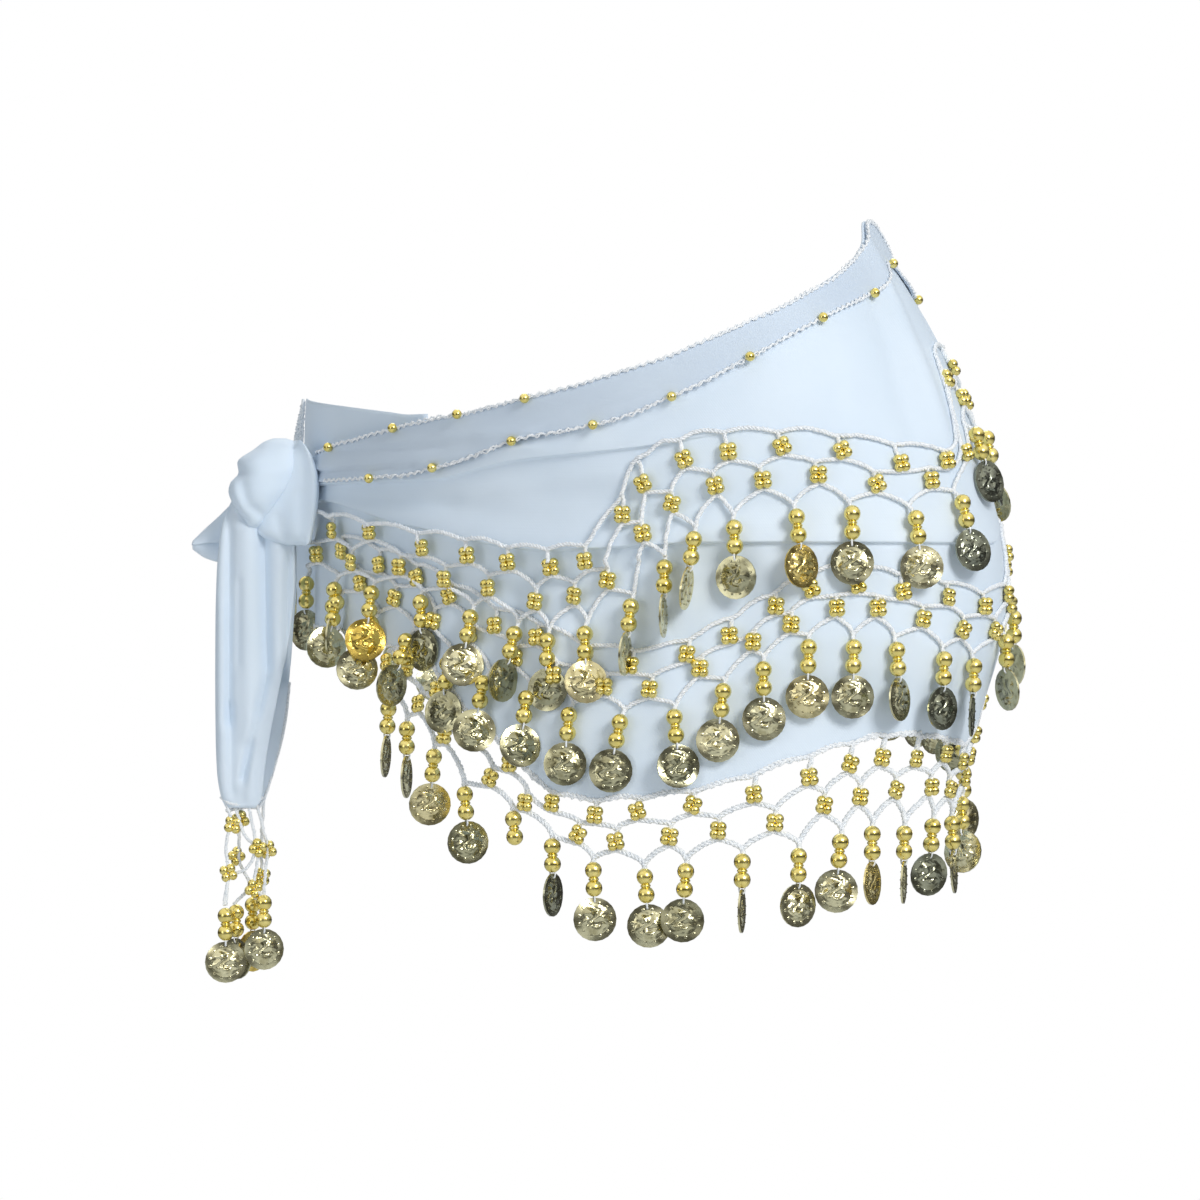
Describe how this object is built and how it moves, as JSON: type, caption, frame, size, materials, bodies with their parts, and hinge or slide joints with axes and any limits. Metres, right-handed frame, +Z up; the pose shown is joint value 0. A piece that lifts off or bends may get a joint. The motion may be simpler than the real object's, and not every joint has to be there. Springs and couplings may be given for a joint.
{
  "type": "belly dance hip scarf",
  "caption": "White hip scarf as worn, hollow, tied at the front right, with tiers of crochet net hung with gold beads and coins.",
  "frame": {"origin": "on the axis of the wearer's hips, at their widest level", "axes": "+Z up, the wearer faces -Y, the wearer's left is +X"},
  "size_m": [0.3909, 0.2755, 0.3278],
  "materials": {
    "cloth": "soft white chiffon with a cool cast",
    "yarn": "white crochet yarn with a silver thread",
    "coins": "polished pale gold beads and stamped coins"
  },
  "bodies": {
    "root": {"hip_wrap": "cloth", "top_band": "cloth", "under_end": "cloth", "knot_over": "cloth", "knot_side": "cloth", "hanging_end": "cloth", "short_end": "cloth", "net_upper": "yarn", "net_middle": "yarn", "net_hem": "yarn", "net_hanging_end": "yarn", "coins_upper": "coins", "coins_middle": "coins", "coins_hem": "coins", "coins_hanging_end": "coins"}
  },
  "joints": []
}
